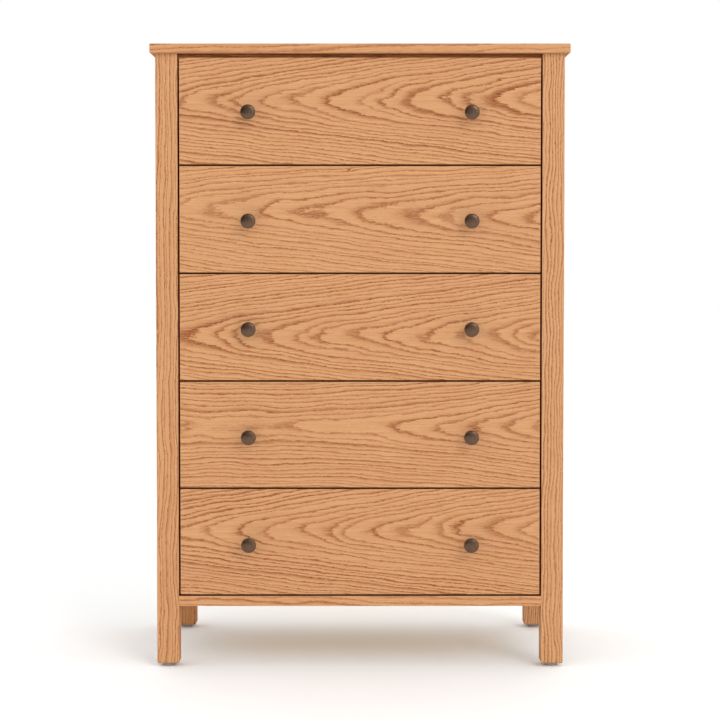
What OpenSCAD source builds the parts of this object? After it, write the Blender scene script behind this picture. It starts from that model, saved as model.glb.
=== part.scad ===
// Tall chest of drawers in oak: four square legs, a slab top, framed sides and
// five equal drawers on ball-bearing slides, with two round knobs to a drawer.
// Millimetres, +Z up. The drawers open towards -Y. The origin is on the floor,
// under the middle of the whole outline, knobs included.

/* [Top] */
// Width of the top board
top_w = 911; // [800:1:1100]
// Depth of the top board
top_d = 505; // [450:1:600]
// Thickness of the top board
top_t = 20.6; // [16:0.1:30]
// Reach of the top past the legs, on every side
overhang = 11.2; // [6:0.1:25]
// Rounding of the top board's edges
top_edge_r = 2.5; // [1:0.5:6]

/* [Legs] */
// Width of the square legs
leg_w = 48; // [46:1:58]
// Height of the bottom rails above the floor
foot_h = 134; // [60:0.5:220]
// Diameter of the round glide under a leg
glide_dia = 29; // [20:1:40]
// Height of the glide under the leg
glide_h = 7.5; // [3:0.5:12]
// Flat cut around the lower end of a leg
foot_edge = 2.5; // [0.5:0.5:3]
// Flat cut along the long edges of the legs, rails and fronts
edge = 0.7; // [0.4:0.1:2]

/* [Case] */
// Height of the bottom front rail
bottom_rail_h = 22; // [20:1:40]
// Height of the top rails, front and back
top_rail_h = 44; // [36:1:46]
// Height of the rails between the drawers
divider_h = 18; // [16:1:20]
// Distance of the rails between the drawers behind the fronts
divider_step = 8; // [1:1:8]
// Thickness of the side panels
side_t = 18; // [16:1:20]
// Step from the outside of the legs in to the side panels
side_step = 5; // [3:0.5:8]
// Thickness of the plywood back
back_t = 6; // [4:0.5:8]
// Spacing of the two pilot holes for a wall strap, in the top rear rail
strap_spacing = 64; // [32:1:120]

/* [Drawers] */
// Height of a drawer front
front_h = 230.8; // [200:0.1:260]
// Thickness of a drawer front
front_t = 20; // [18:0.5:24]
// Gap around a drawer front
gap = 4; // [2:0.1:5]
// Gap between the top board and the upper drawer front
top_gap = 8.9; // [6:0.1:14]
// Thickness of the drawer box boards
box_t = 12.7; // [11:0.1:15]
// Thickness of the drawer bottom
bottom_t = 6; // [4:0.5:7]
// How far a drawer opens, in a case deep enough for slides of this length
travel = 440; // [300:5:440]

/* [Knobs] */
// Diameter of a knob
knob_dia = 32.5; // [26:0.5:40]
// Reach of a knob from the drawer front
knob_reach = 32; // [30:0.5:36]
// Distance of a knob from the middle of its drawer
knob_x = 242; // [120:1:300]
// Step of the knobs below the middle of the front's height
knob_drop = 4; // [0:0.5:10]

/* [Slides] */
// Height of the outer slide member
slide_h = 45; // [40:1:50]
// Width of a slide, from the leg to the drawer box
slide_w = 12.7; // [12.7:0.1:13.5]

/* [Hidden] */
DRAWERS = [1 : 5];
CASE_NODES = [
    "top_panel", "front_left_leg", "front_right_leg", "rear_left_leg", "rear_right_leg",
    "left_side_panel", "right_side_panel", "back_panel", "top_front_rail", "top_rear_rail",
    "bottom_front_rail", "bottom_rear_rail", "drawer_dividers", "slide_outer_members", "leg_glides"
];
DRAWER_NODES = [
    "front", "knobs", "box_front", "box_left", "box_right", "box_back", "bottom",
    "slide_inner_members", "slide_middle_members"
];

oak = [0.82, 0.58, 0.41];
birch = [0.88, 0.77, 0.6];
plywood = [0.83, 0.7, 0.53];
zinc = [0.72, 0.73, 0.75];
bronze = [0.33, 0.26, 0.21];
nylon = [0.49, 0.47, 0.45];

over = 1;                       // how far a cutter runs past the face it cuts

// Outline of the case
frame_w = top_w - 2 * overhang;
frame_d = top_d - 2 * overhang;
opening_w = frame_w - 2 * leg_w;
face_y = knob_reach - (top_d - overhang + knob_reach) / 2;  // plane of legs and fronts
back_y = face_y + frame_d;
pitch = front_h + gap;
lowest_front_z = foot_h + bottom_rail_h + gap;
under_top_z = lowest_front_z + 5 * pitch - gap + top_gap;
leg_h = under_top_z - glide_h;

// Joinery of the case
shoulder = 4;                   // step from a rail's face to its tenon
tenon_l = 20;
tongue_t = 8;                   // tongue of a side panel, in the groove of the legs
tongue_l = 10;
rabbet = 10;                    // lap of the back panel on the legs and the top rail
stem_dia = 7;                   // press stem of a glide
stem_l = 18;
stem_play = 0.2;
strap_hole_dia = 3;
strap_hole_l = 14;
strap_hole_drop = 15;           // strap holes below the top board

// Rails as [y, z, depth, height], with y and z at the low corner
set_back = front_t + 1;         // the top front rail stands 1 mm off the front
rear_rail_t = 20;
bottom_rear_rail_h = 30;
top_rail_z = under_top_z - top_rail_h;
TOP_FRONT = [face_y + set_back, top_rail_z, leg_w - set_back, top_rail_h];
TOP_REAR = [back_y - rear_rail_t, top_rail_z, rear_rail_t, top_rail_h];
BOTTOM_FRONT = [face_y, foot_h, leg_w, bottom_rail_h];
BOTTOM_REAR = [back_y - back_t - rear_rail_t, foot_h, rear_rail_t, bottom_rear_rail_h];

// Drawer box
box_lift = 14;                  // box above the lower edge of its front
box_h = front_h - box_lift - 41.3;
box_back_gap = 12.6;            // space between the box and the plane of the back
box_w = opening_w - 2 * slide_w;
box_y = face_y + front_t;
box_l = frame_d - front_t - box_back_gap;
groove_d = 6;
groove_z = 10;                  // drawer bottom above the lower edge of the box
bottom_play = 0.5;
tails = 4;
pin_w = 8;
pin_slope = 9;                  // degrees
screw_dia = 4;
screw_hole_dia = 4.6;
screw_grip = 12;                // length of screw inside the knob
screw_play = 0.1;
screw_head_dia = 8;
screw_head_h = 2.4;

// Knob
knob_face = 2.2;                // rise of the domed face over the rim
knob_foot_r = 8;
knob_neck_r = 5.4;
neck_cove_r = 7;
rim_r = 1.6;                    // rounding of the head's rim
rim_angle = 60;
knob_rim = knob_dia / 2 - rim_r + rim_r * cos(rim_angle);
dome_r = (pow(knob_rim, 2) + pow(knob_face, 2)) / (2 * knob_face);
// Half section as [radius, distance from the drawer front]
KNOB_OUTLINE = concat(
    [[screw_dia / 2, 0], [knob_foot_r, 0], [knob_foot_r, 1.5]],
    arc([knob_neck_r + neck_cove_r, 9], neck_cove_r, 215, 145, 6),
    arc(
        [knob_dia / 2 - rim_r, knob_reach - knob_face - rim_r * sin(rim_angle)],
        rim_r, -rim_angle, rim_angle, 6
    ),
    arc([0, knob_reach - dome_r], dome_r, acos(knob_rim / dome_r), 90, 8),
    [[0, screw_grip + 1], [screw_dia / 2, screw_grip + 1]]
);

// Slide members, with u measured from the leg towards the drawer box
outer_l = box_l;
slide_l = min(travel, box_l - 10);  // inner and intermediate members
steel = 1.2;
ball = 2.2;                     // room for the balls between two members
middle_h = slide_h - 2 * (steel + ball);
inner_h = middle_h - 2 * (steel + ball);
outer_lip_u = slide_w - 3.1;
middle_web_u = 2.6;
middle_lip_u = slide_w - 1.7;
inner_lip_u = 5;

function drawer_node(n, part) = str("drawer_", n, "_", part);
function front_z(n) = lowest_front_z + (5 - n) * pitch;
function box_z(n) = front_z(n) + box_lift;
function knob_z(n) = front_z(n) + front_h / 2 - knob_drop;
function divider(n) = [
    face_y + front_t + divider_step, front_z(n) - gap / 2 - divider_h / 2,
    leg_w - front_t - divider_step, divider_h
];
function chamfered(w, h, c) = [
    [c, 0], [w - c, 0], [w, c], [w, h - c], [w - c, h], [c, h], [0, h - c], [0, c]
];
function rounded(w, h, r) = concat(
    arc([w - r, r], r, -90, 0, 5), arc([w - r, h - r], r, 0, 90, 5),
    arc([r, h - r], r, 90, 180, 5), arc([r, r], r, 180, 270, 5)
);
// A leg from the side, with the flats cut at its lower end
function leg_side(h) = [
    [foot_edge, 0], [leg_w - foot_edge, 0], [leg_w, foot_edge], [leg_w, h], [0, h], [0, foot_edge]
];
function arc(centre, r, from, to, steps) = [
    for (i = [0 : steps])
        centre + r * [cos(from + (to - from) * i / steps), sin(from + (to - from) * i / steps)]
];

// An outline in y and z, extruded along x
module along_x(x, length)
    translate([x, 0, 0])
        rotate([90, 0, 90])
            linear_extrude(length)
                children();

// An outline in x and z, extruded along y
module along_y(y, length)
    translate([0, y + length, 0])
        rotate([90, 0, 0])
            linear_extrude(length)
                children();

// The children as drawn on the right, and their mirror image on the left
module both_sides() {
    children();
    mirror([1, 0, 0]) children();
}

// A board whose edges are cut all round, from its low corner
module eased_board(corner, size)
    intersection() {
        along_x(corner.x, size.x)
            translate([corner.y, corner.z]) polygon(chamfered(size.y, size.z, edge));
        along_y(corner.y, size.y)
            translate([corner.x, corner.z]) polygon(chamfered(size.x, size.z, edge));
    }

// A rod along -Y from [x, y, z]
module rod(position, r, length)
    translate(position)
        rotate([90, 0, 0])
            cylinder(h = length, r = r, $fn = 48);

// The tenons of a rail, as one bar that runs through from end to end
module tenon_bar(r)
    translate([-opening_w / 2 - tenon_l, r[0] + shoulder, r[1] + shoulder])
        cube([opening_w + 2 * tenon_l, r[2] - 2 * shoulder, r[3] - 2 * shoulder]);

module rail(r) {
    along_x(-opening_w / 2, opening_w)
        translate([r[0], r[1]]) polygon(chamfered(r[2], r[3], edge));
    tenon_bar(r);
}

// The tongue of the right side panel, which both legs are grooved for
module side_tongue(extra)
    translate([
        frame_w / 2 - side_step - side_t / 2 - tongue_t / 2, face_y + leg_w - tongue_l, foot_h
    ])
        cube([tongue_t, frame_d - 2 * leg_w + 2 * tongue_l, under_top_z - foot_h + extra]);

// The back panel, which the rear legs and the top rear rail are rabbeted for
module back_sheet(extra)
    translate([-opening_w / 2 - rabbet, back_y - back_t, foot_h - extra])
        cube([opening_w + 2 * rabbet, back_t + extra, top_rail_z + rabbet - foot_h + extra]);

// A right leg with its groove, mortises and glide socket, from its front plane
module leg(y, rails)
    color(oak)
        difference() {
            intersection() {
                translate([opening_w / 2, y, glide_h])
                    linear_extrude(leg_h) polygon(chamfered(leg_w, leg_w, edge));
                along_x(opening_w / 2, leg_w)
                    translate([y, glide_h]) polygon(leg_side(leg_h));
                along_y(y, leg_w)
                    translate([opening_w / 2, glide_h]) polygon(leg_side(leg_h));
            }
            side_tongue(over);
            for (r = rails) tenon_bar(r);
            translate([opening_w / 2 + leg_w / 2, y + leg_w / 2, glide_h - over])
                cylinder(h = stem_l + stem_play + over, d = stem_dia + stem_play, $fn = 48);
        }

module front_leg()
    leg(face_y, concat([TOP_FRONT, BOTTOM_FRONT], [for (n = [1 : 4]) divider(n)]));

module rear_leg()
    difference() {
        leg(back_y - leg_w, [TOP_REAR, BOTTOM_REAR]);
        back_sheet(over);
    }

module top_panel()
    color(oak)
        intersection() {
            along_x(-top_w / 2, top_w)
                translate([face_y - overhang, under_top_z])
                    polygon(rounded(top_d, top_t, top_edge_r));
            along_y(face_y - overhang, top_d)
                translate([-top_w / 2, under_top_z])
                    polygon(rounded(top_w, top_t, top_edge_r));
        }

module side_panel()
    color(oak) {
        translate([frame_w / 2 - side_step - side_t, face_y + leg_w, foot_h])
            cube([side_t, frame_d - 2 * leg_w, under_top_z - foot_h]);
        side_tongue(0);
    }

module back_panel() color(plywood) back_sheet(0);

module top_rear_rail()
    color(oak)
        difference() {
            rail(TOP_REAR);
            back_sheet(over);
            for (side = [-1, 1])
                rod(
                    [side * strap_spacing / 2, back_y + over, under_top_z - strap_hole_drop],
                    strap_hole_dia / 2, strap_hole_l + over
                );
        }

module drawer_dividers() color(oak) for (n = [1 : 4]) rail(divider(n));

module leg_glides()
    color(nylon)
        both_sides()
            for (y = [face_y + leg_w / 2, back_y - leg_w / 2])
                translate([opening_w / 2 + leg_w / 2, y, 0])
                    rotate_extrude($fn = 64)
                        polygon([
                            [0, 0], [glide_dia / 2 - 1, 0], [glide_dia / 2, 1],
                            [glide_dia / 2, glide_h], [stem_dia / 2, glide_h],
                            [stem_dia / 2, glide_h + stem_l], [0, glide_h + stem_l]
                        ]);

// A steel channel of a drawer's slides: its web at web_u, its lips reaching to lip_u
module channel(n, web_u, lip_u, h, length) {
    bend = lip_u > web_u ? steel : -steel;
    along_y(box_y + 1, length)
        translate([opening_w / 2, box_z(n) + box_h / 2 - h / 2])
            mirror([1, 0])
                polygon([
                    [web_u, 0], [lip_u, 0], [lip_u, steel], [web_u + bend, steel],
                    [web_u + bend, h - steel], [lip_u, h - steel], [lip_u, h], [web_u, h]
                ]);
}

module slide_outer_members()
    color(zinc)
        both_sides()
            for (n = DRAWERS) channel(n, 0, outer_lip_u, slide_h, outer_l);

module slide_middle_members(n)
    color(zinc) both_sides() channel(n, middle_web_u, middle_lip_u, middle_h, slide_l);

module slide_inner_members(n)
    color(zinc) both_sides() channel(n, slide_w, inner_lip_u, inner_h, slide_l);

// The dovetail pins at both ends of a box side. They are narrow at the end of
// the box and wide at the joint line, so a pull on the front locks them.
module dovetail_pins(n) {
    end = pin_w / 2;
    root = end + box_t * tan(pin_slope);
    both_sides()
        for (back = [0, 1], k = [0 : tails])
            along_x(box_w / 2 - box_t - over, box_t + 2 * over)
                translate([box_y + back * box_l, box_z(n) + k * box_h / tails])
                    mirror([back, 0])
                        polygon([
                            [-over, -end], [0, -end], [box_t, -root],
                            [box_t, root], [0, end], [-over, end]
                        ]);
}

// The drawer bottom, or with no play the pocket that the box is grooved with
module bottom_sheet(n, play)
    translate([
        -box_w / 2 + box_t - groove_d + play, box_y + box_t - groove_d + play,
        box_z(n) + groove_z
    ])
        cube([
            box_w - 2 * (box_t - groove_d + play), box_l - 2 * (box_t - groove_d + play),
            bottom_t
        ]);

// Holes for the knob screws, through the box and the front
module knob_holes(n)
    for (side = [-1, 1])
        rod(
            [side * knob_x, box_y + box_t + over, knob_z(n)],
            screw_hole_dia / 2, box_t + front_t + 2 * over
        );

module front(n)
    color(oak)
        difference() {
            eased_board(
                [-opening_w / 2 + gap, face_y, front_z(n)],
                [opening_w - 2 * gap, front_t, front_h]
            );
            knob_holes(n);
        }

// A right box side, with sockets for the pins at both ends
module box_side(n)
    color(birch)
        difference() {
            translate([box_w / 2 - box_t, box_y, box_z(n)]) cube([box_t, box_l, box_h]);
            dovetail_pins(n);
            bottom_sheet(n, 0);
        }

// The front or the back of a box, with its pins, from its front plane
module box_end(n, y)
    intersection() {
        translate([-box_w / 2, y, box_z(n)]) cube([box_w, box_t, box_h]);
        difference() {
            union() {
                translate([-box_w / 2 + box_t, y, box_z(n)])
                    cube([box_w - 2 * box_t, box_t, box_h]);
                dovetail_pins(n);
            }
            bottom_sheet(n, 0);
        }
    }

module box_front(n)
    color(birch)
        difference() {
            box_end(n, box_y);
            knob_holes(n);
        }

module box_back(n) color(birch) box_end(n, box_y + box_l - box_t);

module bottom(n) color(plywood) bottom_sheet(n, bottom_play);

// The two knobs of a drawer, with the screws that hold them from inside the box
module knobs(n)
    for (side = [-1, 1])
        translate([side * knob_x, 0, knob_z(n)]) {
            color(bronze)
                translate([0, face_y, 0])
                    rotate([90, 0, 0])
                        rotate_extrude($fn = 72) polygon(KNOB_OUTLINE);
            color(zinc) {
                rod(
                    [0, box_y + box_t, 0],
                    screw_dia / 2 - screw_play, box_t + front_t + screw_grip
                );
                rod([0, box_y + box_t + screw_head_h, 0], screw_head_dia / 2, screw_head_h);
            }
        }

top_panel();
mirror([1, 0, 0]) front_leg();  // front_left_leg
front_leg();  // front_right_leg
mirror([1, 0, 0]) rear_leg();  // rear_left_leg
rear_leg();  // rear_right_leg
mirror([1, 0, 0]) side_panel();  // left_side_panel
side_panel();  // right_side_panel
back_panel();
color(oak) rail(TOP_FRONT);  // top_front_rail
top_rear_rail();
color(oak) rail(BOTTOM_FRONT);  // bottom_front_rail
color(oak) rail(BOTTOM_REAR);  // bottom_rear_rail
drawer_dividers();
slide_outer_members();
leg_glides();
for (n = DRAWERS) {
    front(n);
    knobs(n);
    box_front(n);
    mirror([1, 0, 0]) box_side(n);
    box_side(n);
    box_back(n);
    bottom(n);
    slide_inner_members(n);
    slide_middle_members(n);
}
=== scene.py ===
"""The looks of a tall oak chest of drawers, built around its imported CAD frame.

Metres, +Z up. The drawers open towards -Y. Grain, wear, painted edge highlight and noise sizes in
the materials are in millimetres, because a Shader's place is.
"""
import math

import bmesh
import bpy
from mathutils import Matrix, Vector


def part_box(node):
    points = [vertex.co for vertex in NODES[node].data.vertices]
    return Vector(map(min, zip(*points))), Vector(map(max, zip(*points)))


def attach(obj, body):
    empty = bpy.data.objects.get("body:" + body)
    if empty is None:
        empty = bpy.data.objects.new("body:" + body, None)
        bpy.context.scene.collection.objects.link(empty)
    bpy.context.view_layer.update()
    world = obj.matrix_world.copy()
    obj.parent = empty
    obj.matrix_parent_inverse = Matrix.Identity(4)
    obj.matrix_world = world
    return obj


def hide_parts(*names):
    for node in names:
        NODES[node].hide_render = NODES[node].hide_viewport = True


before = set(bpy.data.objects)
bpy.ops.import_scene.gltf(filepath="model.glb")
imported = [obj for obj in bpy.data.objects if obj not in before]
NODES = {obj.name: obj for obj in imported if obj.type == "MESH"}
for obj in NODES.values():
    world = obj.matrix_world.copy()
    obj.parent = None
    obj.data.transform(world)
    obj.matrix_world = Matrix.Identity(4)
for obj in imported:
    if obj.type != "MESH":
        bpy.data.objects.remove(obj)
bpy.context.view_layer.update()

DRAWERS = range(1, 6)
MM = 0.001


# --- Camera, light and floor -------------------------------------------------------------------

SENSOR = 36
LENS = 96.48
CAMERA_DISTANCE = 4.2           # from the plane of the legs
CAMERA_HEIGHT = 0.9178
CAMERA_PITCH = math.radians(2.046)
CAMERA_SHIFT = -0.06
KEY_POWER = 0.66
KEY_AZIMUTH, KEY_ELEVATION = 31, 32
KEY_SPREAD = 24                 # how wide the light looks, in degrees
SKY_LEVEL = 1.75                # of pure white, at the horizon
SKY_SLOPE = (0.0, 0.0, -0.95)   # how it changes towards the zenith
ROOM_LEVEL = 0.57               # what shiny things see straight ahead
ROOM_SLOPE = (0.9, 0.0, 0.15)   # how it brightens to the right and upwards
FLOOR_SIZE = 40


def make_camera():
    """The photo's view, straight from the front."""
    data = bpy.data.cameras.new("camera")
    data.lens, data.sensor_width = LENS, SENSOR
    data.shift_y = CAMERA_SHIFT
    camera = bpy.data.objects.new("camera", data)
    legs_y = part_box("front_left_leg")[0].y
    camera.location = (0, legs_y - CAMERA_DISTANCE, CAMERA_HEIGHT)
    camera.rotation_euler = (math.pi / 2 - CAMERA_PITCH, 0, 0)
    bpy.context.scene.collection.objects.link(camera)
    bpy.context.scene.camera = camera


def soft_sun(name, azimuth, elevation, spread, power):
    """Even light from one side, with soft shadows. Azimuth 0 is straight in front of the chest."""
    turn, rise = math.radians(azimuth), math.radians(elevation)
    towards = Vector((
        math.sin(turn) * math.cos(rise), -math.cos(turn) * math.cos(rise), math.sin(rise)
    ))
    data = bpy.data.lights.new(name, "SUN")
    data.angle, data.energy = math.radians(spread), power
    lamp = bpy.data.objects.new(name, data)
    lamp.rotation_euler = (-towards).to_track_quat("-Z", "Y").to_euler()
    bpy.context.scene.collection.objects.link(lamp)


def make_world():
    """Soft white light that is strongest near the horizon, on a white backdrop.

    What shiny things see is a room that is lit from the right.
    """
    world = bpy.data.worlds.new("studio")
    bpy.context.scene.world = world
    world.use_nodes = True
    tree = world.node_tree

    def node(kind, inputs, **settings):
        made = tree.nodes.new(kind)
        for key, value in settings.items():
            setattr(made, key, value)
        for key, value in inputs.items():
            if isinstance(value, bpy.types.NodeSocket):
                tree.links.new(value, made.inputs[key])
            else:
                made.inputs[key].default_value = value
        return made.outputs

    def slope(direction, level):
        along = node("ShaderNodeVectorMath", {0: looking, 1: direction}, operation="DOT_PRODUCT")
        return node("ShaderNodeMath", {0: along["Value"], 1: level}, operation="ADD")[0]

    def choose(factor, low, high):
        return node("ShaderNodeMapRange", {"Value": factor, "To Min": low, "To Max": high})[0]

    looking = node("ShaderNodeTexCoord", {})["Generated"]
    path = node("ShaderNodeLightPath", {})
    sky, room = slope(SKY_SLOPE, SKY_LEVEL), slope(ROOM_SLOPE, ROOM_LEVEL)
    level = choose(path["Is Glossy Ray"], sky, room)
    level = choose(path["Is Camera Ray"], level, 1.0)
    tree.links.new(level, tree.nodes["Background"].inputs["Strength"])
    tree.nodes["Background"].inputs["Color"].default_value = (1, 1, 1, 1)


def make_floor():
    """A white floor that runs out of sight."""
    bpy.ops.mesh.primitive_plane_add(size=FLOOR_SIZE)
    floor = bpy.context.object
    floor.name = "floor"
    floor.data.materials.append(floor_material())


def make_studio():
    """Camera, light, backdrop and floor."""
    make_camera()
    make_world()
    soft_sun("key", KEY_AZIMUTH, KEY_ELEVATION, KEY_SPREAD, KEY_POWER)
    bpy.context.scene.view_settings.view_transform = "Standard"
    make_floor()


# --- Shader building ---------------------------------------------------------------------------

def srgb(red, green, blue):
    """A colour given in 8-bit sRGB, as the linear values that shaders take."""
    def linear(value):
        value /= 255
        return value / 12.92 if value <= 0.04045 else ((value + 0.055) / 1.055) ** 2.4
    return (linear(red), linear(green), linear(blue), 1.0)


SATIN_EDGE = (0.7, 0.9)         # how far a surface turns away before it loses its shine
FINISH_GLOSS = 0.3              # the specular level of the finish on the wood


class Shader:
    """Builds one material. Each method returns an output socket to feed into the next."""

    def __init__(self, name):
        self.material = bpy.data.materials.new(name)
        self.material.use_nodes = True
        self.tree = self.material.node_tree
        self.tree.nodes.clear()
        self.surface = self.node("ShaderNodeBsdfPrincipled")
        self.node("ShaderNodeOutputMaterial", {"Surface": self.surface.outputs["BSDF"]})

    def node(self, kind, inputs=None, **settings):
        made = self.tree.nodes.new(kind)
        for key, value in settings.items():
            setattr(made, key, value)
        for key, value in (inputs or {}).items():
            self.feed(made.inputs[key], value)
        return made

    def feed(self, socket, value):
        if isinstance(value, bpy.types.NodeSocket):
            self.tree.links.new(value, socket)
        else:
            socket.default_value = value

    def finish(self, **inputs):
        """Sets sockets of the Principled shader, such as base_color or roughness."""
        for key, value in inputs.items():
            socket = key.replace("_", " ").title().replace("Ior", "IOR")
            self.feed(self.surface.inputs[socket], value)
        return self.material

    def math(self, operation, a, b=0.0, c=0.0, clamp=False):
        made = self.node("ShaderNodeMath", {0: a, 1: b, 2: c}, operation=operation)
        made.use_clamp = clamp
        return made.outputs[0]

    def place(self, centre=(0, 0, 0)):
        """Position on the object in millimetres from centre, which is in metres."""
        where = self.node("ShaderNodeTexCoord").outputs["Object"]
        moved = self.node("ShaderNodeVectorMath", {0: where, 1: centre}, operation="SUBTRACT")
        scaled = self.node(
            "ShaderNodeVectorMath", {0: moved.outputs[0], "Scale": 1 / MM}, operation="SCALE"
        )
        return scaled.outputs[0]

    def split(self, vector):
        return self.node("ShaderNodeSeparateXYZ", {0: vector}).outputs

    def join(self, x, y, z):
        return self.node("ShaderNodeCombineXYZ", {0: x, 1: y, 2: z}).outputs[0]

    def noise(self, place, size, seed=0.0, detail=2.0, roughness=0.5):
        """Noise whose blobs are about size (x, y, z) millimetres, from 0 to 1 about 0.5."""
        scaled = self.node(
            "ShaderNodeVectorMath",
            {0: place, 1: [1 / s for s in size], 2: (seed, seed * 0.7, -seed)},
            operation="MULTIPLY_ADD",
        )
        made = self.node("ShaderNodeTexNoise", {
            "Vector": scaled.outputs[0], "Scale": 1.0, "Detail": detail, "Roughness": roughness,
        })
        return made.outputs["Factor" if "Factor" in made.outputs else "Fac"]

    def noise_1d(self, value, seed):
        made = self.node(
            "ShaderNodeTexNoise",
            {"W": self.math("ADD", value, seed), "Scale": 1.0, "Detail": 1.0},
            noise_dimensions="1D",
        )
        return made.outputs["Factor" if "Factor" in made.outputs else "Fac"]

    def ramp(self, factor, stops):
        """stops is a list of (position, value)."""
        made = self.node("ShaderNodeValToRGB", {0: factor})
        elements = made.color_ramp.elements
        while len(elements) < len(stops):
            elements.new(1.0)
        for element, (position, value) in zip(elements, stops):
            element.position = position
            element.color = (value, value, value, 1)
        return made.outputs["Color"]

    def mix(self, factor, a, b, blend="MIX"):
        made = self.node("ShaderNodeMix", data_type="RGBA", blend_type=blend)
        self.feed(made.inputs[0], factor)
        self.feed(made.inputs[6], a)
        self.feed(made.inputs[7], b)
        return made.outputs[2]

    def tint(self, factor, color, by):
        """color, multiplied by another one as far as factor says."""
        return self.mix(factor, color, self.mix(1.0, color, by, "MULTIPLY"))

    def fit(self, value, low, high, to_low=0.0, to_high=1.0):
        """value from low to high, turned into to_low to to_high and held there outside."""
        made = self.node("ShaderNodeMapRange", {
            "Value": value, "From Min": low, "From Max": high,
            "To Min": to_low, "To Max": to_high,
        })
        return made.outputs["Result"]

    def satin(self, roughness):
        """The roughness of a rubbed finish, which loses its shine at a grazing angle."""
        facing = self.node("ShaderNodeLayerWeight", {"Blend": 0.5}).outputs["Facing"]
        return self.math("MAXIMUM", roughness, self.fit(facing, *SATIN_EDGE))

    def bump(self, height, millimetres, strength):
        made = self.node("ShaderNodeBump", {
            "Height": height, "Distance": millimetres * MM, "Strength": strength,
        })
        return made.outputs["Normal"]


# --- Wood --------------------------------------------------------------------------------------

OAK = {
    "light": srgb(201, 152, 107), "tan": srgb(186, 128, 79), "dark": srgb(136, 64, 0),
    "pore": 0.6, "rough": 0.44,
}
# Painted shade: a darker, redder oak for the parts that sit in the shadow behind the fronts
OAK_PAINTED_SHADE = {
    "light": srgb(216, 138, 72), "tan": srgb(160, 84, 42), "dark": srgb(112, 48, 8),
    "pore": 0.6, "rough": 0.5,
}
BIRCH = {
    "light": srgb(226, 199, 158), "tan": srgb(216, 183, 138), "dark": srgb(190, 148, 102),
    "pore": 0.1, "rough": 0.5,
}

# A ring, from the sharp start of its open-pored early wood to its smooth late wood
RING = [
    (0.0, 0.0), (0.03, 0.9), (0.11, 1.0), (0.24, 0.62), (0.38, 0.22), (0.58, 0.03), (1.0, 0.0)
]
AXES = {"x": 0, "y": 1, "z": 2}
SPREAD = (0.3, 0.7)             # where most values of a noise lie
PORE_EDGE = (0.55, 0.61)        # the noise level at which a pore opens
WEAR_AND_HIGHLIGHT_LEVEL = 0.3                # how much of the pale wood shows along the edges, as wear and as a painted highlight
RELIEF = 0.05                   # depth of the pores, in millimetres

# Noise in the wood, as the size of its blobs along the grain, across it and through the board
WAVES = (150, 60, 60)
JAGS = (34, 7, 7)
TEETH = (6, 1.1, 1.1)
FLECKS = (14, 1.5, 1.5)
STREAKS = (110, 2.6, 2.6)
FIBRES = (18, 0.9, 0.9)
BLUSH = (260, 90, 90)
PORES = (7, 0.38, 0.38)
WEAR_AND_HIGHLIGHT_PATCHES = (9, 9, 9)

# What the wood's colour is multiplied by in its blushes, pores and special faces. The tints for
# the faces beside a show face and for the legs' faces that line the drawer opening are painted
# shade for the gaps.
BLUSH_TINT = srgb(246, 240, 240)
PORE_TINT = srgb(140, 98, 70)
GAP_SHADE_TINT = srgb(150, 82, 48)
LINING_SHADE_TINT = srgb(212, 126, 80)
END_TINT = srgb(205, 185, 170)
FACE_PLY_TINT, CROSS_PLY_TINT = srgb(238, 226, 214), srgb(188, 158, 132)
KNOT = srgb(120, 52, 24)


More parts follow.
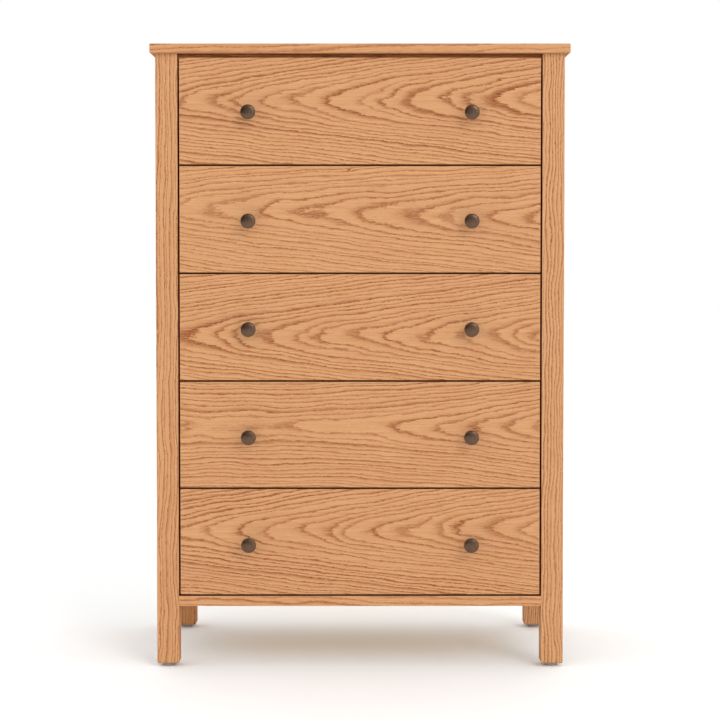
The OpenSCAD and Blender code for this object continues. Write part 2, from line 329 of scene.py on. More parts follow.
def wood(name, style, low, high, along, across, out, seed,
         pith=0.0, depth=50.0, spacing=7.0, taper=0.0, bow=0.0, tilt=0.0,
         wander=1.15, ragged=0.36, contrast=1.0, tone=0.0, rim=0.0, stave=0.0, plies=0,
         pin=None, lining=None):
    """Solid wood for a board with corners low and high.

    along, across and out name the axes of the grain, of the show face's width and of its
    outward normal, such as "x", "z" and "-y". The rings are cones around a pith that lies
    depth behind the show face and pith off its middle line: taper closes them into cathedrals
    along the board and bow spreads those both ways. wander and ragged are how far their waves
    and their jagged edges go, in rings. rim is how much darker the faces beside the show face
    are, a painted shade for the gaps that they line; stave is the width of the strips that a
    wide board is glued up from, and plies the number of layers of plywood. pin is the (along,
    across) of a pin knot. lining is the (sign of its outward normal across, where it starts
    along) of a face that gets painted shade where it lines the drawer opening. Lengths are in
    millimetres.
    """
    s = Shader(name)
    half = (high - low) / 2 / MM
    where = s.place((low + high) / 2)
    axes = s.split(where)
    normal = s.split(s.node("ShaderNodeTexCoord").outputs["Normal"])
    outward = AXES[out[-1]]
    thickness = half[outward]
    layer = s.math("MULTIPLY", axes[outward], -1.0 if out[0] == "-" else 1.0)
    a, b, c = axes[AXES[along]], axes[AXES[across]], layer
    if stave:
        a, b, c = glued_up(s, a, b, c, stave, seed)
    board = s.join(a, b, c)

    off = s.math("ADD", b, s.math("MULTIPLY_ADD", a, tilt, -pith))
    behind = s.math("ADD", c, depth - thickness)
    radius = s.math("SQRT", s.math("ADD", s.math("POWER", off, 2.0), s.math("POWER", behind, 2.0)))
    cone = s.math("MULTIPLY", a, s.math("MULTIPLY_ADD", a, bow, taper))
    rings = s.math("DIVIDE", s.math("SUBTRACT", radius, cone), spacing)
    early = early_wood(s, board, wavy_rings(s, board, rings, wander, ragged, seed), seed)

    # Fibres and pores run along the grain, and show as dots on the end grain
    streaks = s.noise(board, STREAKS, seed + 7, detail=3, roughness=0.65)
    fibres = s.noise(board, FIBRES, seed + 9, detail=2, roughness=0.6)
    pores = s.fit(s.noise(board, PORES, seed + 13, detail=1), *PORE_EDGE)
    pores = s.math("MULTIPLY", pores, s.math("MULTIPLY_ADD", early, 0.8, 0.2))

    tan = s.math("ADD", s.fit(streaks, *SPREAD, -0.1, 0.7), s.fit(fibres, *SPREAD, -0.1, 0.4))
    color = s.mix(s.math("ADD", tan, tone, clamp=True), style["light"], style["tan"])
    blush = s.noise(board, BLUSH, seed + 11, detail=1)
    color = s.tint(s.fit(blush, *SPREAD, 0.0, 0.3), color, BLUSH_TINT)
    color = s.mix(s.math("MULTIPLY", early, contrast), color, style["dark"])
    color = s.tint(s.math("MULTIPLY", pores, style["pore"]), color, PORE_TINT)
    if pin:
        color = pin_knot(s, color, a, b, pin)
    if plies:
        color = ply_edges(s, color, normal[outward], layer, thickness, plies)
    else:
        color = end_grain(s, color, normal[AXES[along]])
        # Painted shade: the faces beside the show face, which line the gaps between parts, are
        # darkened
        beside = s.fit(s.math("ABSOLUTE", normal[outward]), 0.2, 0.6, rim, 0.0)
        color = s.tint(beside, color, GAP_SHADE_TINT)
    # Painted shade on the front legs' faces that line the drawer opening
    if lining:
        color = painted_lining_shade(s, color, normal[AXES[across]], a, lining)
    # Paler wood along the edges: partly wear, partly a painted highlight where the eased edges
    # catch the light
    worn_and_lit = edge_wear_and_highlight(s, axes, half, where, seed)
    color = s.mix(s.math("MULTIPLY", worn_and_lit, WEAR_AND_HIGHLIGHT_LEVEL), color, style["light"])

    height = s.math("SUBTRACT", s.math("MULTIPLY", fibres, 0.3), pores)
    height = s.math("SUBTRACT", height, s.math("MULTIPLY", early, 0.25))
    rough = s.math("ADD", s.fit(streaks, 0.2, 0.8, style["rough"] - 0.05, style["rough"] + 0.05),
                   s.math("MULTIPLY", s.math("ADD", early, pores), 0.08))
    return s.finish(base_color=color, roughness=s.satin(rough), specular_ior_level=FINISH_GLOSS,
                    normal=s.bump(height, RELIEF, 0.6))


def wavy_rings(s, board, rings, wander, ragged, seed):
    """Bends the rings with the waves, jags and uneven years of a real tree."""
    def sway(noise, reach):
        return s.math("ADD", rings, s.fit(noise, 0, 1, -reach, reach))

    rings = sway(s.noise(board, WAVES, seed, detail=2), wander)
    rings = sway(s.noise(board, JAGS, seed + 3, detail=3, roughness=0.6), ragged)
    rings = sway(s.noise(board, TEETH, seed + 5, detail=2, roughness=0.7), ragged * 0.8)
    return sway(s.noise_1d(s.math("MULTIPLY", rings, 0.6), seed), 0.5)


def early_wood(s, board, rings, seed):
    """1 in the open-pored early wood of a ring, of a strength that differs from year to year."""
    early = s.ramp(s.math("FRACT", rings), RING)
    strength = s.node(
        "ShaderNodeTexWhiteNoise", {"W": s.math("ADD", s.math("FLOOR", rings), seed)},
        noise_dimensions="1D",
    ).outputs["Value"]
    early = s.math("MULTIPLY", early, s.fit(strength, 0, 1, 0.55, 1.0))
    flecks = s.noise(board, FLECKS, seed + 6, detail=2, roughness=0.6)
    return s.math("MULTIPLY", early, s.fit(flecks, *SPREAD, 0.4, 1.2), clamp=True)


def glued_up(s, a, b, c, stave, seed):
    """Splits b into strips, and shifts the grain in each one to another part of the tree."""
    strip = s.math("ROUND", s.math("DIVIDE", b, stave))
    chance = s.split(s.node(
        "ShaderNodeTexWhiteNoise", {"W": s.math("ADD", strip, seed)}, noise_dimensions="1D"
    ).outputs["Color"])
    local = s.math("SUBTRACT", b, s.math("MULTIPLY", strip, stave))
    return (
        s.math("MULTIPLY_ADD", chance[0], 1500.0, a),
        s.math("MULTIPLY_ADD", s.math("SUBTRACT", chance[1], 0.5), stave * 2.4, local),
        s.math("MULTIPLY_ADD", chance[2], 60.0, c),
    )


def pin_knot(s, color, a, b, pin):
    """A tiny dark knot, a little longer along the grain."""
    da = s.math("MULTIPLY", s.math("SUBTRACT", a, pin[0]), 0.6)
    db = s.math("SUBTRACT", b, pin[1])
    distance = s.math("SQRT", s.math("ADD", s.math("POWER", da, 2.0), s.math("POWER", db, 2.0)))
    return s.mix(s.fit(distance, 1.0, 3.2, 0.9, 0.0), color, KNOT)


def painted_lining_shade(s, color, facing, a, lining):
    """Paints shade on the face of a leg that lines the drawer opening."""
    sign, start = lining
    toward = s.fit(s.math("MULTIPLY", facing, sign), 0.6, 0.9)
    lining_shade = s.math("MULTIPLY", toward, s.fit(a, start, start + 4))
    return s.tint(lining_shade, color, LINING_SHADE_TINT)


def end_grain(s, color, facing):
    """Darkens the faces that cut across the grain, where the finish soaks in."""
    cut = s.fit(s.math("ABSOLUTE", facing), 0.6, 0.95, 0.0, 0.55)
    return s.tint(cut, color, END_TINT)


def ply_edges(s, color, facing, layer, thickness, plies):
    """Lays the stripes of the layers on the faces that don't face outward."""
    edge = s.fit(s.math("ABSOLUTE", facing), 0.3, 0.6, 1.0, 0.0)
    stripe = s.math("MULTIPLY_ADD", layer, plies / 4 / thickness, plies / 4)
    dark = s.fit(s.math("FRACT", stripe), 0.48, 0.52, 0.0, 1.0)
    cut = s.mix(dark, s.tint(1.0, color, FACE_PLY_TINT), s.tint(1.0, color, CROSS_PLY_TINT))
    return s.mix(edge, color, cut)


def edge_wear_and_highlight(s, axes, half, where, seed):
    """1 along the board's edges and 0 a little way in, broken up by noise: where wear and a
    painted highlight pale the wood.
    """
    gaps = [
        s.math("SUBTRACT", half[i], s.math("ABSOLUTE", axes[i])) for i in range(3)
    ]
    inner = s.math("MAXIMUM", gaps[0], gaps[1])
    outer = s.math("MINIMUM", gaps[0], gaps[1])
    second = s.math("MAXIMUM", outer, s.math("MINIMUM", inner, gaps[2]))
    patchy = s.noise(where, WEAR_AND_HIGHLIGHT_PATCHES, seed + 17, detail=3)
    reach = s.fit(patchy, *SPREAD, 0.8, 2.4)
    return s.math("SUBTRACT", 1.0, s.math("DIVIDE", second, reach), clamp=True)


def plywood(name, low, high, along, across, out, seed):
    """Rotary-cut birch faces, with the plies showing on the edges."""
    return wood(name, BIRCH, low, high, along, across, out, seed, pith=30, depth=400,
                spacing=26, taper=0.25, wander=2.5, ragged=0.3, contrast=0.45, plies=5)


# --- Other materials ---------------------------------------------------------------------------

def floor_material():
    """Near-white matte paper."""
    s = Shader("studio_floor")
    mottle = s.noise(s.place(), (600, 600, 600), 1.0, detail=3)
    color = s.mix(mottle, srgb(249, 252, 253), srgb(251, 254, 255))
    return s.finish(base_color=color, roughness=s.fit(mottle, 0, 1, 0.75, 0.85))


def zinc_material():
    """Bright zinc plate on rolled steel: fine lines along the strip and a little spangle."""
    s = Shader("zinc_plate")
    place = s.place()
    lines = s.noise(place, (0.25, 60, 0.25), 2.0, detail=3, roughness=0.7)
    spangle = s.noise(place, (6, 6, 6), 4.0, detail=4, roughness=0.7)
    color = s.mix(spangle, srgb(196, 198, 202), srgb(222, 223, 226))
    return s.finish(base_color=color, metallic=1.0, normal=s.bump(lines, 0.01, 0.5),
                    roughness=s.fit(spangle, *SPREAD, 0.27, 0.38))


def bronze_material():
    """Dark bronze on a turned knob: a satin brown with faint mottling."""
    s = Shader("dark_bronze")
    place = s.place()
    mottle = s.noise(place, (5, 5, 5), 3.0, detail=4, roughness=0.6)
    grain = s.noise(place, (0.5, 0.5, 0.5), 5.0, detail=2)
    color = s.mix(s.fit(mottle, *SPREAD), srgb(96, 74, 59), srgb(111, 87, 71))
    return s.finish(base_color=color, metallic=1.0, normal=s.bump(grain, 0.02, 0.35),
                    roughness=s.fit(mottle, *SPREAD, 0.27, 0.36))


def plastic_material(name, low, high):
    """Moulded plastic with a fine matte grain."""
    s = Shader(name)
    mottle = s.noise(s.place(), (1.2, 1.2, 1.2), 6.0, detail=3)
    color = s.mix(mottle, low, high)
    return s.finish(base_color=color, roughness=s.fit(mottle, 0, 1, 0.45, 0.6),
                    normal=s.bump(mottle, 0.03, 0.4))


# --- Mesh building -----------------------------------------------------------------------------

def paint(node, material):
    """Gives a CAD node its material."""
    NODES[node].data.materials.clear()
    NODES[node].data.materials.append(material)


def ease(node, width, segments=2):
    """Rounds the sharp edges of a CAD node. Its own vertices stay as they are."""
    modifiers = NODES[node].modifiers
    merge = modifiers.new("merge flat faces", "DECIMATE")
    merge.decimate_type = "DISSOLVE"
    merge.angle_limit = math.radians(0.4)
    bevel = modifiers.new("eased edges", "BEVEL")
    bevel.width = width * MM
    bevel.segments = segments
    bevel.limit_method = "ANGLE"
    bevel.angle_limit = math.radians(35)


def arc(centre, radius, start, end, steps):
    """Points of a round stretch of an outline, with its angles in degrees."""
    angles = [math.radians(start + (end - start) * i / steps) for i in range(steps + 1)]
    return [
        (centre[0] + radius * math.cos(t), centre[1] + radius * math.sin(t)) for t in angles
    ]


def circle(x, y, radius, steps=24):
    return arc((x, y), radius, 0, 360, steps)[:-1]


def add_prism(mesh, loops, low, high, place, slot=0):
    """Adds an outline, loops[0], with holes, the other loops, drawn out from low to high.

    place turns a point of the outline and its height into a position.
    """
    ends = []
    for height in (low, high):
        rims, edges = [], []
        for loop in loops:
            rim = [mesh.verts.new(place(p, q, height)) for p, q in loop]
            edges += [mesh.edges.new((rim[i - 1], rim[i])) for i in range(len(rim))]
            rims.append(rim)
        cap = bmesh.ops.triangle_fill(mesh, use_beauty=True, use_dissolve=False, edges=edges)
        faces = [item for item in cap["geom"] if isinstance(item, bmesh.types.BMFace)]
        for face in faces:
            face.material_index = slot
        ends.append(rims)
    for first, second in zip(*ends):
        for i in range(len(first)):
            wall = mesh.faces.new((first[i - 1], first[i], second[i], second[i - 1]))
            wall.material_index = slot


def add_lathed(mesh, outline, place, steps=96):
    """Adds a turned solid from an outline of (radius, height)."""
    rings = []
    for radius, height in outline:
        turns = [2 * math.pi * i / steps for i in range(steps if radius > 0 else 1)]
        rings.append([
            mesh.verts.new(place(radius * math.cos(t), radius * math.sin(t), height))
            for t in turns
        ])
    for first, second in zip(rings, rings[1:]):
        for i in range(steps):
            j = (i + 1) % steps
            around = [first[i % len(first)], first[j % len(first)],
                      second[j % len(second)], second[i % len(second)]]
            mesh.faces.new([v for k, v in enumerate(around) if v not in around[:k]])


def mesh_data(name, mesh, sharp=32):
    """The finished mesh, smooth where it bends less than sharp degrees."""
    bmesh.ops.recalc_face_normals(mesh, faces=mesh.faces)
    data = bpy.data.meshes.new(name)
    mesh.to_mesh(data)
    mesh.free()
    data.shade_smooth()
    data.set_sharp_from_angle(angle=math.radians(sharp))
    return data


def upright(x, y, z):
    """The place of a point given in millimetres."""
    return (x * MM, y * MM, z * MM)


def facing(centre, side):
    """Where a point of a small part goes that stands out from centre along X or Y.

    side names the way it faces, such as "-y".
    """
    sign = -1 if side[0] == "-" else 1
    if side[-1] == "y":
        return lambda p, q, h: centre + Vector((p * MM, sign * h * MM, q * MM))
    return lambda p, q, h: centre + Vector((sign * h * MM, p * MM, q * MM))


def add_screw(mesh, place, radius, height):
    """A round screw head with a cross recess, standing out from its seat."""
    arm, half = radius * 0.55, radius * 0.14
    cross = [(half, arm), (-half, arm), (-half, half), (-arm, half), (-arm, -half),
             (-half, -half), (-half, -arm), (half, -arm), (half, -half), (arm, -half),
             (arm, half), (half, half)]
    rim, shoulder = height * 0.45, height * 0.8
    add_prism(mesh, [circle(0, 0, radius)], 0, rim, place)
    add_prism(mesh, [circle(0, 0, radius * 0.93), cross], rim, shoulder, place)
    add_prism(mesh, [circle(0, 0, radius * 0.78), cross], shoulder, height, place)


def add_piece(name, data, materials, body, nodes=(), matrix=None):
    """Adds a piece of the chest, riding on body and standing for CAD nodes if any are given."""
    piece = bpy.data.objects.new(name, data)
    bpy.context.scene.collection.objects.link(piece)
    if matrix is not None:
        piece.matrix_world = matrix
    if not data.materials:
        for material in materials:
            data.materials.append(material)
    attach(piece, body)
    if nodes:
        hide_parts(*nodes)
    return piece


# --- The chest ---------------------------------------------------------------------------------

# Each front is cut from its own board, so its cathedrals sit in their own place
FRONT_GRAIN = {
    1: dict(pith=24, depth=48, spacing=7.0, taper=0.112, tilt=-0.01, seed=11.0, contrast=1.15),
    2: dict(pith=14, depth=62, spacing=6.8, taper=0.07, tilt=0.028, seed=26.0, contrast=1.05,
            pin=(-24, 108)),
    3: dict(pith=-18, depth=50, spacing=7.0, taper=0.105, tilt=0.0, seed=37.0, contrast=1.2),
    4: dict(pith=18, depth=46, spacing=6.8, taper=0.047, bow=0.0001, tilt=0.0, seed=44.0,
            contrast=1.08),
    5: dict(pith=26, depth=48, spacing=7.0, taper=0.115, tilt=-0.01, seed=59.0, contrast=1.18),
}
# The tone of each leg's oak; the rear left leg's dark tone is painted shade, for the chest's
# shadow that it stands in
LEG_TONE_AND_SHADE = {
    "front_left_leg": 0.05, "front_right_leg": -0.1, "rear_left_leg": 0.85, "rear_right_leg": -0.1
}
RAILS = ("top_front_rail", "top_rear_rail", "bottom_front_rail", "bottom_rear_rail")
CASE_EASE, TOP_EASE, FRONT_EASE = 0.45, 0.8, 0.3    # how far the edges are rounded
STAVE_TOP, STAVE_SIDE = 102, 98
# How much the faces that line the gaps around the fronts and above the bottom rail are darkened:
# painted shade
FRONT_GAP_SHADE, RAIL_GAP_SHADE = 0.45, 0.8


def dress_legs():
    """The four legs, the front ones with painted shade where they line the drawer opening."""
    rail_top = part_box("bottom_front_rail")[1].z
    for i, node in enumerate(LEG_TONE_AND_SHADE):
        low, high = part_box(node)
        front = node.startswith("front")
        lining = (1 if "left" in node else -1, (rail_top - (low.z + high.z) / 2) / MM)
        paint(node, wood(
            f"oak_{node}", OAK, low, high, "z", "x", "-y" if front else "y", seed=70.0 + 7 * i,
            pith=-90, depth=60, spacing=6.2, taper=0.02, tilt=0.012, wander=1.8,
            contrast=1.05 if front else 1.3, tone=LEG_TONE_AND_SHADE[node],
            lining=lining if front else None,
        ))
        ease(node, CASE_EASE)


def dress_rails():
    """The rails of the case. The top front rail and the dividers, in the shadow behind the fronts,
    get a darker, redder oak as painted shade.
    """
    for i, node in enumerate(RAILS):
        low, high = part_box(node)
        paint(node, wood(
            f"oak_{node}", OAK_PAINTED_SHADE if node == "top_front_rail" else OAK, low, high,
            "x", "z", "-y", seed=110.0 + 7 * i, pith=30, depth=70, spacing=4.4, taper=0.015,
            contrast=0.9, rim=RAIL_GAP_SHADE if node == "bottom_front_rail" else 0.0,
        ))
        ease(node, CASE_EASE)
    # The dividers get the darker, redder oak and a darker tone: painted shade in the gaps between
    # the fronts
    low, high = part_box("drawer_dividers")
    paint("drawer_dividers", wood(
        "oak_dividers", OAK_PAINTED_SHADE, low, high, "x", "z", "y", seed=140.0, pith=60, depth=80,
        spacing=5.0, taper=0.01, tone=0.6,
    ))
    ease("drawer_dividers", CASE_EASE)


def dress_top():
    """The top, glued up from strips."""
    low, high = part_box("top_panel")
    paint("top_panel", wood(
        "oak_top", OAK, low, high, "x", "y", "z", seed=150.0, depth=40,
        spacing=4.8, taper=0.012, wander=0.9, tone=0.12, stave=STAVE_TOP,
    ))
    ease("top_panel", TOP_EASE, segments=3)


def dress_sides_and_back():
    """The two side panels and the plywood back."""
    for side, out, seed in (("left", "-x", 160.0), ("right", "x", 170.0)):
        low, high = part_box(f"{side}_side_panel")
        paint(f"{side}_side_panel", wood(
            f"oak_{side}_side", OAK, low, high, "z", "y", out, seed, depth=35, spacing=7.2,
            taper=0.04, contrast=0.85, stave=STAVE_SIDE,
        ))
    low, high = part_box("back_panel")
    paint("back_panel", plywood("back_plywood", low, high, "z", "x", "y", 180.0))


def dress_drawer(n):
    """The oak front, the birch box and the plywood bottom of drawer n."""
    def part(name):
        return f"drawer_{n}_{name}"

    low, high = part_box(part("front"))
    paint(part("front"), wood(
        f"oak_front_{n}", OAK, low, high, "x", "z", "-y", rim=FRONT_GAP_SHADE, **FRONT_GRAIN[n]
    ))
    ease(part("front"), FRONT_EASE)
    box_grain = {
        "box_front": ("x", "z", "y"), "box_back": ("x", "z", "-y"),
        "box_left": ("y", "z", "-x"), "box_right": ("y", "z", "x"),
    }
    for i, (board, grain) in enumerate(box_grain.items()):
        low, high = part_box(part(board))
        paint(part(board), wood(
            f"birch_{n}_{board}", BIRCH, low, high, *grain, seed=200.0 + 10 * n + i,
            pith=40 - 20 * i, depth=90, spacing=9, taper=0.05, contrast=0.5,
        ))
    low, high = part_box(part("bottom"))
    paint(part("bottom"), plywood(f"plywood_{n}", low, high, "x", "y", "z", 300.0 + n))


KNOB_FOOT = [(0, 0.0), (7.6, 0.0), (8.0, 0.4), (8.0, 1.2), (7.5, 1.8)]
NECK_CENTRE, NECK_RADIUS = (12.4, 9.0), 7.0
BEAD = 1.7                      # radius of the bead around the head
GROOVE = 3.2                    # the groove inside the bead, in from the rim
CROWN = 1.75                    # how far the head rises inside the groove
WASHER_RADIUS, WASHER = 5.5, 0.8
KNOB_SCREW = (4.0, 2.2)         # radius and height of a screw's head


def knob_outline(reach, radius):
    """Half section of a knob: a foot, a waisted neck and a flat head with a beaded rim."""
    face = radius - GROOVE
    steps = 12
    return (
        KNOB_FOOT
        + arc(NECK_CENTRE, NECK_RADIUS, 222, 138, 14)
        + arc((radius - BEAD, reach - 3.6), BEAD, -65, 75, steps)
        + [(radius - 2.6, reach - 2.1), (face, reach - 1.85)]
        + [(r, reach - CROWN * (r / face) ** 2) for r in
           [face * (1 - i / steps) for i in range(1, steps)] + [0]]
    )


def make_knobs(n):
    """The two turned knobs of drawer n, each with its screw and washer inside the box."""
    low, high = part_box(f"drawer_{n}_knobs")
    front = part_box(f"drawer_{n}_front")[0].y
    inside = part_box(f"drawer_{n}_box_front")[1].y
    radius = (high.z - low.z) / 2 / MM
    reach = (front - low.y) / MM
    mesh = bmesh.new()
    add_lathed(mesh, knob_outline(reach, radius), upright)
    data = mesh_data(f"knob_{n}", mesh, sharp=50)
    turn = Matrix.Rotation(math.pi / 2, 4, "X")
    for side, x in (("left", low.x + radius * MM), ("right", high.x - radius * MM)):
        spot = Matrix.Translation((x, front, (low.z + high.z) / 2))
        add_piece(f"drawer_{n}_{side}_knob", data, [BRONZE], f"drawer_{n}",
                  [f"drawer_{n}_knobs"], spot @ turn)
        mesh = bmesh.new()
        seat = Vector((x, inside, (low.z + high.z) / 2))
        add_prism(mesh, [circle(0, 0, WASHER_RADIUS)], 0, WASHER, facing(seat, "y"))
        add_screw(mesh, facing(seat + Vector((0, WASHER * MM, 0)), "y"), *KNOB_SCREW)
        add_piece(f"drawer_{n}_{side}_knob_screw", mesh_data("knob_screw", mesh), [ZINC],
                  f"drawer_{n}", [f"drawer_{n}_knobs"])


GLIDE_DIMPLE = [(0, 1.5), (3.0, 1.5), (3.6, 0.5), (4.2, 0.0)]
GLIDE_ROUND = 1.8


def make_glides():
    """The turned glides under the legs."""
    low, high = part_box("leg_glides")
    leg_low, leg_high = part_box("front_left_leg")
    rear_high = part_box("rear_right_leg")[1]
    half = (leg_high.x - leg_low.x) / 2
    radius = (leg_low.x + half - low.x) / MM
    height = leg_low.z / MM
    outline = (
        GLIDE_DIMPLE + [(radius - 2, 0.0)]
        + arc((radius - GLIDE_ROUND, GLIDE_ROUND), GLIDE_ROUND, -80, 0, 6)
        + [(radius, height), (0, height)]
    )
    mesh = bmesh.new()
    add_lathed(mesh, outline, upright)
    data = mesh_data("glide", mesh)
    for x in (leg_low.x + half, rear_high.x - half):
        for y in (leg_low.y + half, rear_high.y - half):
            name = f"glide_{'left' if x < 0 else 'right'}_{'front' if y < 0 else 'rear'}"
            add_piece(name, data, [GLIDE], "case", ["leg_glides"],
                      Matrix.Translation((x, y, 0)))


# Each slide member as its web and the end of its lips, in millimetres from the leg, with the
# ball tracks in its lips as (distance from the leg, depth outward)
SHEET = 1.2
GAP_SHADE_CAP = 0.8                       # length of the dark end caps: painted shade where the members show in the gap beside the drawer front
BEND = 1.6                      # radius between web and lip
TRACK_WIDTH = 3.0
OUTER_TRACK, INNER_TRACK = 4.9, 8.4
OUTER_MEMBER = dict(web=0.0, lip=9.6, tracks=[(OUTER_TRACK, 0.5)])
MIDDLE_MEMBER = dict(web=2.6, lip=11.0, tracks=[(OUTER_TRACK, -0.5), (INNER_TRACK, 0.5)])
INNER_MEMBER = dict(web=12.7, lip=5.0, tracks=[(INNER_TRACK, -0.5)])
BALL = 3.1                      # diameter
BALLS, BALL_PITCH, CAGE_START = 20, 9.5, 20
CAGE_WIDTH, CAGE_SHEET = 2.8, 0.6
BALL_PLAY = 0.05

# Where the holes and screws of the members are, in millimetres from their front ends
OUTER_SLOTS, INNER_SLOTS, MIDDLE_SLOTS = (120, 240, 360), (70, 250, 390), (150, 290)
MIDDLE_HOLES, MIDDLE_HOLE_RADIUS = (60, 400), 4
OUTER_SCREWS, INNER_SCREWS = (14, 30), (36, 210, 420)
OUTER_SLOT, MIDDLE_SLOT, INNER_SLOT = (12, 5.5), (26, 9), (9, 4.5)      # length and width
OUTER_SCREW, INNER_SCREW = (3.2, 1.2), (3.8, 2.0)           # radius and height of the head
LEVER = [(286, -3), (330, -5), (352, -9), (356, -9), (350, -3), (332, 3), (286, 4)]
LEVER_SHEET, LEVER_GAP = 2.0, 0.2


def offset_strip(path, thickness):
    """The outline of a sheet of this thickness whose middle follows path."""
    sides = [], []
    for i, point in enumerate(path):
        before, after = path[max(i - 1, 0)], path[min(i + 1, len(path) - 1)]
        along = Vector(after) - Vector(before)
        normal = Vector((-along.y, along.x)).normalized() * thickness / 2
        for side, sign in zip(sides, (1, -1)):
            side.append((point[0] + sign * normal.x, point[1] + sign * normal.y))
    return sides[0] + sides[1][::-1]


def lip_outline(web, lip, tracks, height):
    """The upper lip of a slide member, from its web, as (distance from leg, height)."""
    way = 1 if lip > web else -1
    top = height / 2 - SHEET / 2
    middle = web + way * SHEET / 2
    start, end = middle + way * BEND, lip
    path = [
        (start - way * BEND * math.cos(t), top - BEND + BEND * math.sin(t))
        for t in [math.pi / 2 * i / 5 for i in range(6)]
    ]
    steps = 24
    for i in range(1, steps + 1):
        u = start + (end - start) * i / steps
        rise = 0.0
        for track, depth in tracks:
            near = abs(u - track) / (TRACK_WIDTH / 2)
            rise += depth * math.cos(near * math.pi / 2) ** 2 if near < 1 else 0.0
        path.append((u, top + rise))
    return offset_strip(path, SHEET)


def add_member(mesh, at, web, lip, tracks, height, length, holes):
    """Adds one rolled slide member, with dark caps on the ends that show beside the front, as
    painted shade in that gap.
    """
    outline = lip_outline(web, lip, tracks, height)
    lower = [(u, -w) for u, w in outline]
    way = 1 if lip > web else -1
    edge = height / 2 - SHEET / 2 - BEND
    for low, high, slot in ((-GAP_SHADE_CAP, 0, 1), (0, length, 0)):
        for lip_loop in (outline, lower):
            add_prism(mesh, [lip_loop], low, high, lambda u, w, v: at(u, v, w), slot)
        plate = [(low, -edge), (high, -edge), (high, edge), (low, edge)]
        openings = holes if slot == 0 else []
        add_prism(mesh, [plate] + openings, web, web + way * SHEET,
                  lambda v, w, u: at(u, v, w), slot)


def slot_hole(v, length, width):
    """An oblong hole along the slide, centred v from its front end."""
    reach = length / 2 - width / 2
    return (
        arc((v + reach, 0), width / 2, -90, 90, 8) + arc((v - reach, 0), width / 2, 90, 270, 8)
    )


def add_cage(mesh, at, u, w):
    """Adds a strip of balls above and below, between two members."""
    thin, side = CAGE_SHEET / 2, CAGE_WIDTH / 2
    first, last = CAGE_START - BALL_PITCH, CAGE_START + BALLS * BALL_PITCH
    for sign in (-1, 1):
        strip = [(first, -thin), (last, -thin), (last, thin), (first, thin)]
        add_prism(mesh, [strip], u - side, u + side, lambda v, q, p: at(p, v, sign * w + q), 1)
        for i in range(BALLS):
            middle = CAGE_START + i * BALL_PITCH
            ball = [(0, -BALL / 2)] + [
                (BALL / 2 * math.cos(t), BALL / 2 * math.sin(t))
                for t in [math.pi * (k / 6 - 0.5) for k in range(1, 6)]
            ] + [(0, BALL / 2)]
            add_lathed(mesh, ball, lambda p, q, h: at(u + p, middle + q, sign * w + h), 10)


def outer_member(at, height, within, length):
    """The member on the leg, with the balls that carry the one within it."""
    mesh = bmesh.new()
    holes = [slot_hole(v, *OUTER_SLOT) for v in OUTER_SLOTS]
    add_member(mesh, at, **OUTER_MEMBER, height=height, length=length, holes=holes)
    for v in [*OUTER_SCREWS] + [length - v for v in reversed(OUTER_SCREWS)]:
        add_screw(mesh, lambda p, q, h: at(SHEET + h, v + p, q), *OUTER_SCREW)
    add_cage(mesh, at, OUTER_TRACK, (height + within) / 4 - SHEET / 2 + BALL_PLAY)
    return mesh_data("outer_member", mesh)


def middle_member(at, height, within, length):
    """The member in between, with the balls that carry the one within it."""
    mesh = bmesh.new()
    holes = [slot_hole(v, *MIDDLE_SLOT) for v in MIDDLE_SLOTS]
    holes += [circle(v, 0, MIDDLE_HOLE_RADIUS) for v in MIDDLE_HOLES]
    add_member(mesh, at, **MIDDLE_MEMBER, height=height, length=length, holes=holes)
    add_cage(mesh, at, INNER_TRACK, (height + within) / 4 - SHEET / 2 + BALL_PLAY)
    return mesh_data("middle_member", mesh)


def inner_member(at, height, length):
    """The member on the drawer, with its release lever."""
    mesh = bmesh.new()
    holes = [slot_hole(v, *INNER_SLOT) for v in INNER_SLOTS]
    add_member(mesh, at, **INNER_MEMBER, height=height, length=length, holes=holes)
    seat = INNER_MEMBER["web"] - SHEET
    for v in INNER_SCREWS:
        add_screw(mesh, lambda p, q, h: at(seat - h, v + p, q), *INNER_SCREW)
    add_prism(mesh, [LEVER], seat - LEVER_GAP - LEVER_SHEET, seat - LEVER_GAP,
              lambda v, w, u: at(u, v, w), 1)
    return mesh_data("inner_member", mesh)


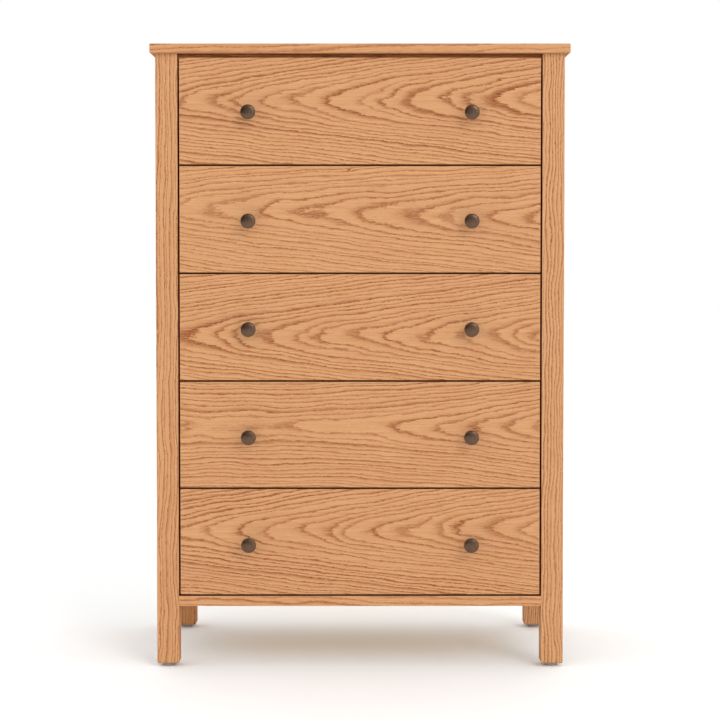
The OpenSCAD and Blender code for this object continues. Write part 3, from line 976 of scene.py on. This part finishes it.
def make_slides(n):
    """Both slides of drawer n, on the left and right, each with its three members."""
    outer_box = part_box("slide_outer_members")
    inner_low, inner_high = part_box(f"drawer_{n}_slide_inner_members")
    middle_low, middle_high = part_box(f"drawer_{n}_slide_middle_members")
    leg_x, front_y = outer_box[1].x, inner_low.y
    level = (inner_low.z + inner_high.z) / 2
    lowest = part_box("drawer_5_slide_inner_members")
    outer_h = ((lowest[0].z + lowest[1].z) / 2 - outer_box[0].z) * 2 / MM
    middle_h = (middle_high.z - middle_low.z) / MM
    inner_h = (inner_high.z - inner_low.z) / MM
    outer_l = (outer_box[1].y - front_y) / MM
    inner_l = (inner_high.y - front_y) / MM
    for side, sign in (("left", -1), ("right", 1)):
        def at(u, v, w):
            return Vector((sign * (leg_x - u * MM), front_y + v * MM, level + w * MM))

        outer = outer_member(at, outer_h, middle_h, outer_l)
        middle = middle_member(at, middle_h, inner_h, inner_l)
        inner = inner_member(at, inner_h, inner_l)
        add_piece(f"slide_{n}_{side}_outer", outer, [ZINC, PLASTIC], "case",
                  ["slide_outer_members"])
        add_piece(f"slide_{n}_{side}_middle", middle, [ZINC, PLASTIC], f"slide_{n}_middle",
                  [f"drawer_{n}_slide_middle_members"])
        add_piece(f"slide_{n}_{side}_inner", inner, [ZINC, PLASTIC], f"drawer_{n}",
                  [f"drawer_{n}_slide_inner_members"])


BACK_INSET, BACK_INSET_LOW = 5 * MM, 14 * MM    # from the panel's sides and top, and its bottom
BACK_COLUMNS, BACK_ROWS = 5, 7
BACK_SCREW = (3.4, 1.3)


def evenly(low, high, count):
    """count values, evenly from low to high."""
    return [low + (high - low) * i / (count - 1) for i in range(count)]


def make_back_screws():
    """The screws around the back panel."""
    low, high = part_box("back_panel")
    columns = evenly(low.x + BACK_INSET, high.x - BACK_INSET, BACK_COLUMNS)
    rows = evenly(low.z + BACK_INSET_LOW, high.z - BACK_INSET, BACK_ROWS)
    mesh = bmesh.new()
    spots = [(x, z) for x in (columns[0], columns[-1]) for z in rows]
    spots += [(x, z) for z in (rows[-1], rows[0]) for x in columns[1:-1]]
    for x, z in spots:
        add_screw(mesh, facing(Vector((x, high.y, z)), "y"), *BACK_SCREW)
    add_piece("back_screws", mesh_data("back_screws", mesh), [ZINC], "case")


ZINC, BRONZE = zinc_material(), bronze_material()
GLIDE = plastic_material("grey_nylon", srgb(140, 132, 126), srgb(152, 145, 138))
PLASTIC = plastic_material("black_plastic", srgb(28, 25, 24), srgb(38, 35, 33))
make_studio()
dress_legs()
dress_rails()
dress_top()
dress_sides_and_back()
make_glides()
make_back_screws()
for number in DRAWERS:
    dress_drawer(number)
    make_knobs(number)
    make_slides(number)
